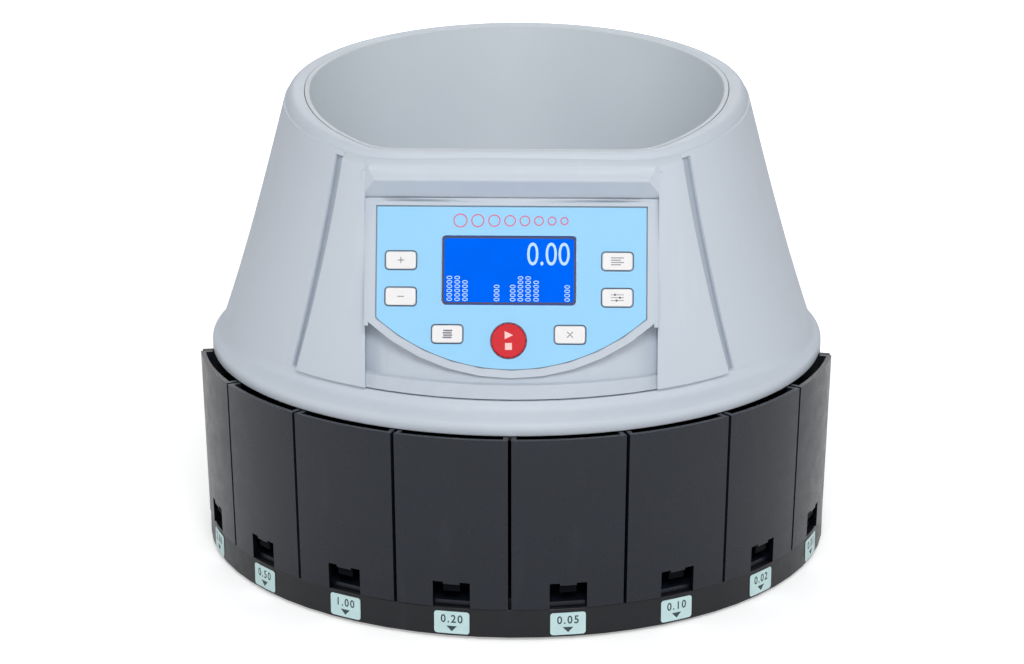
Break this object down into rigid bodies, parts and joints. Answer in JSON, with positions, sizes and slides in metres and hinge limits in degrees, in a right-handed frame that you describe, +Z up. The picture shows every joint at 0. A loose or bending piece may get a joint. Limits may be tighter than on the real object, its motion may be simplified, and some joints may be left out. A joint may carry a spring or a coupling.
{
  "type": "coin sorting machine",
  "caption": "Countertop coin sorter: a conical housing with an open hopper, display and keys on its front, over a ring of wedge-shaped pull-out coin drawers.",
  "frame": {"origin": "on the floor, under the middle of the bounding box; the machine's own vertical axis stands at y = +12.56 mm", "axes": "+Z up, front with the panel and drawers towards -Y, +X to the right of someone facing away from the machine's back, that is to the right in a front view"},
  "size_m": [0.3542, 0.3348, 0.2692],
  "materials": {
    "housing_grey": "light blue-grey moulded plastic, fine satin texture",
    "drawer_charcoal": "charcoal moulded plastic, satin",
    "cover_black": "black moulded plastic",
    "deck_steel": "brushed sheet",
    "rail_plastic": "hard white plastic",
    "turned_steel": "plated steel",
    "bearing_brass": "turned",
    "foot_rubber": "matt black",
    "overlay_blue": "printed light blue film",
    "screen_blue": "blue display behind a clear lens",
    "key_white": "white with a grey outline",
    "start_red": "red",
    "board_green": "circuit board with solder mask"
  },
  "bodies": {
    "machine": {"base_ring": "drawer_charcoal", "base_screw_1": "turned_steel", "base_screw_2": "turned_steel", "base_screw_3": "turned_steel", "base_screw_4": "turned_steel", "base_tray": "drawer_charcoal", "bearing_housing": "bearing_brass", "board_screw_1": "turned_steel", "board_screw_2": "turned_steel", "board_screw_3": "turned_steel", "board_screw_4": "turned_steel", "chamber_cover": "housing_grey", "coin_rail": "rail_plastic", "coin_sensor": "cover_black", "drive_belt": "foot_rubber", "drive_motor": "turned_steel", "foot_1": "foot_rubber", "foot_2": "foot_rubber", "foot_3": "foot_rubber", "foot_4": "foot_rubber", "hopper_bowl": "housing_grey", "inlet_screw_1": "turned_steel", "inlet_screw_2": "turned_steel", "inner_drum": "cover_black", "keypad_board": "board_green", "lcd_module": "deck_steel", "lcd_window": "screen_blue", "main_board": "board_green", "motor_bracket": "deck_steel", "panel_bezel": "housing_grey", "panel_overlay": "overlay_blue", "power_inlet": "cover_black", "power_supply": "board_green", "power_switch_frame": "cover_black", "rear_cover": "cover_black", "sorting_deck": "deck_steel", "upper_housing": "housing_grey"},
    "rotor": {"sorting_rotor": "rail_plastic", "rotor_cap": "rail_plastic", "spindle": "turned_steel", "rotor_pulley": "cover_black"},
    "motor_rotor": {"motor_pulley": "cover_black", "motor_shaft": "turned_steel"},
    "coin_drawer_1_body": {"coin_drawer_1": "drawer_charcoal"},
    "coin_drawer_2_body": {"coin_drawer_2": "drawer_charcoal"},
    "coin_drawer_3_body": {"coin_drawer_3": "drawer_charcoal"},
    "coin_drawer_4_body": {"coin_drawer_4": "drawer_charcoal"},
    "coin_drawer_5_body": {"coin_drawer_5": "drawer_charcoal"},
    "coin_drawer_6_body": {"coin_drawer_6": "drawer_charcoal"},
    "coin_drawer_7_body": {"coin_drawer_7": "drawer_charcoal"},
    "coin_drawer_8_body": {"coin_drawer_8": "drawer_charcoal"},
    "key_plus_body": {"key_plus": "key_white"},
    "key_minus_body": {"key_minus": "key_white"},
    "key_batch_body": {"key_batch": "key_white"},
    "key_clear_body": {"key_clear": "key_white"},
    "key_report_body": {"key_report": "key_white"},
    "key_set_body": {"key_set": "key_white"},
    "key_start_body": {"key_start": "start_red"},
    "power_rocker_body": {"power_rocker": "cover_black"}
  },
  "joints": [
    {"name": "drawer_1_slide", "type": "slide", "parent": "machine", "child": "coin_drawer_1_body", "axis": [-0.9397, -0.342, 0], "range_m": [0, 0.075]},
    {"name": "drawer_2_slide", "type": "slide", "parent": "machine", "child": "coin_drawer_2_body", "axis": [-0.766, -0.6428, 0], "range_m": [0, 0.075]},
    {"name": "drawer_3_slide", "type": "slide", "parent": "machine", "child": "coin_drawer_3_body", "axis": [-0.5, -0.866, 0], "range_m": [0, 0.075]},
    {"name": "drawer_4_slide", "type": "slide", "parent": "machine", "child": "coin_drawer_4_body", "axis": [-0.1736, -0.9848, 0], "range_m": [0, 0.075]},
    {"name": "drawer_5_slide", "type": "slide", "parent": "machine", "child": "coin_drawer_5_body", "axis": [0.1736, -0.9848, 0], "range_m": [0, 0.075]},
    {"name": "drawer_6_slide", "type": "slide", "parent": "machine", "child": "coin_drawer_6_body", "axis": [0.5, -0.866, 0], "range_m": [0, 0.075]},
    {"name": "drawer_7_slide", "type": "slide", "parent": "machine", "child": "coin_drawer_7_body", "axis": [0.766, -0.6428, 0], "range_m": [0, 0.075]},
    {"name": "drawer_8_slide", "type": "slide", "parent": "machine", "child": "coin_drawer_8_body", "axis": [0.9397, -0.342, 0], "range_m": [0, 0.075]},
    {"name": "key_plus_press", "type": "slide", "parent": "machine", "child": "key_plus_body", "axis": [0, 0.9304, -0.3665], "range_m": [0, 0.0008], "stiffness_N_per_m": 500},
    {"name": "key_minus_press", "type": "slide", "parent": "machine", "child": "key_minus_body", "axis": [0, 0.9304, -0.3665], "range_m": [0, 0.0008], "stiffness_N_per_m": 500},
    {"name": "key_batch_press", "type": "slide", "parent": "machine", "child": "key_batch_body", "axis": [0, 0.9304, -0.3665], "range_m": [0, 0.0008], "stiffness_N_per_m": 500},
    {"name": "key_clear_press", "type": "slide", "parent": "machine", "child": "key_clear_body", "axis": [0, 0.9304, -0.3665], "range_m": [0, 0.0008], "stiffness_N_per_m": 500},
    {"name": "key_report_press", "type": "slide", "parent": "machine", "child": "key_report_body", "axis": [0, 0.9304, -0.3665], "range_m": [0, 0.0008], "stiffness_N_per_m": 500},
    {"name": "key_set_press", "type": "slide", "parent": "machine", "child": "key_set_body", "axis": [0, 0.9304, -0.3665], "range_m": [0, 0.0008], "stiffness_N_per_m": 500},
    {"name": "key_start_press", "type": "slide", "parent": "machine", "child": "key_start_body", "axis": [0, 0.9304, -0.3665], "range_m": [0, 0.0008], "stiffness_N_per_m": 500},
    {"name": "power_rocker_tilt", "type": "hinge", "parent": "machine", "child": "power_rocker_body", "pos_m": [0.026, 0.16316, 0.046], "axis": [1, 0, 0], "range_deg": [0, 20]},
    {"name": "rotor_spin", "type": "hinge", "parent": "machine", "child": "rotor", "pos_m": [0, 0.01256, 0.117], "axis": [0, 0, 1], "continuous": true},
    {"name": "motor_spin", "type": "hinge", "parent": "machine", "child": "motor_rotor", "pos_m": [0, 0.06861, 0.088], "axis": [0, 0, 1], "continuous": true}
  ],
  "couplings": [
    {"joint": "motor_spin", "follows": "rotor_spin", "ratio": 2.8333}
  ]
}
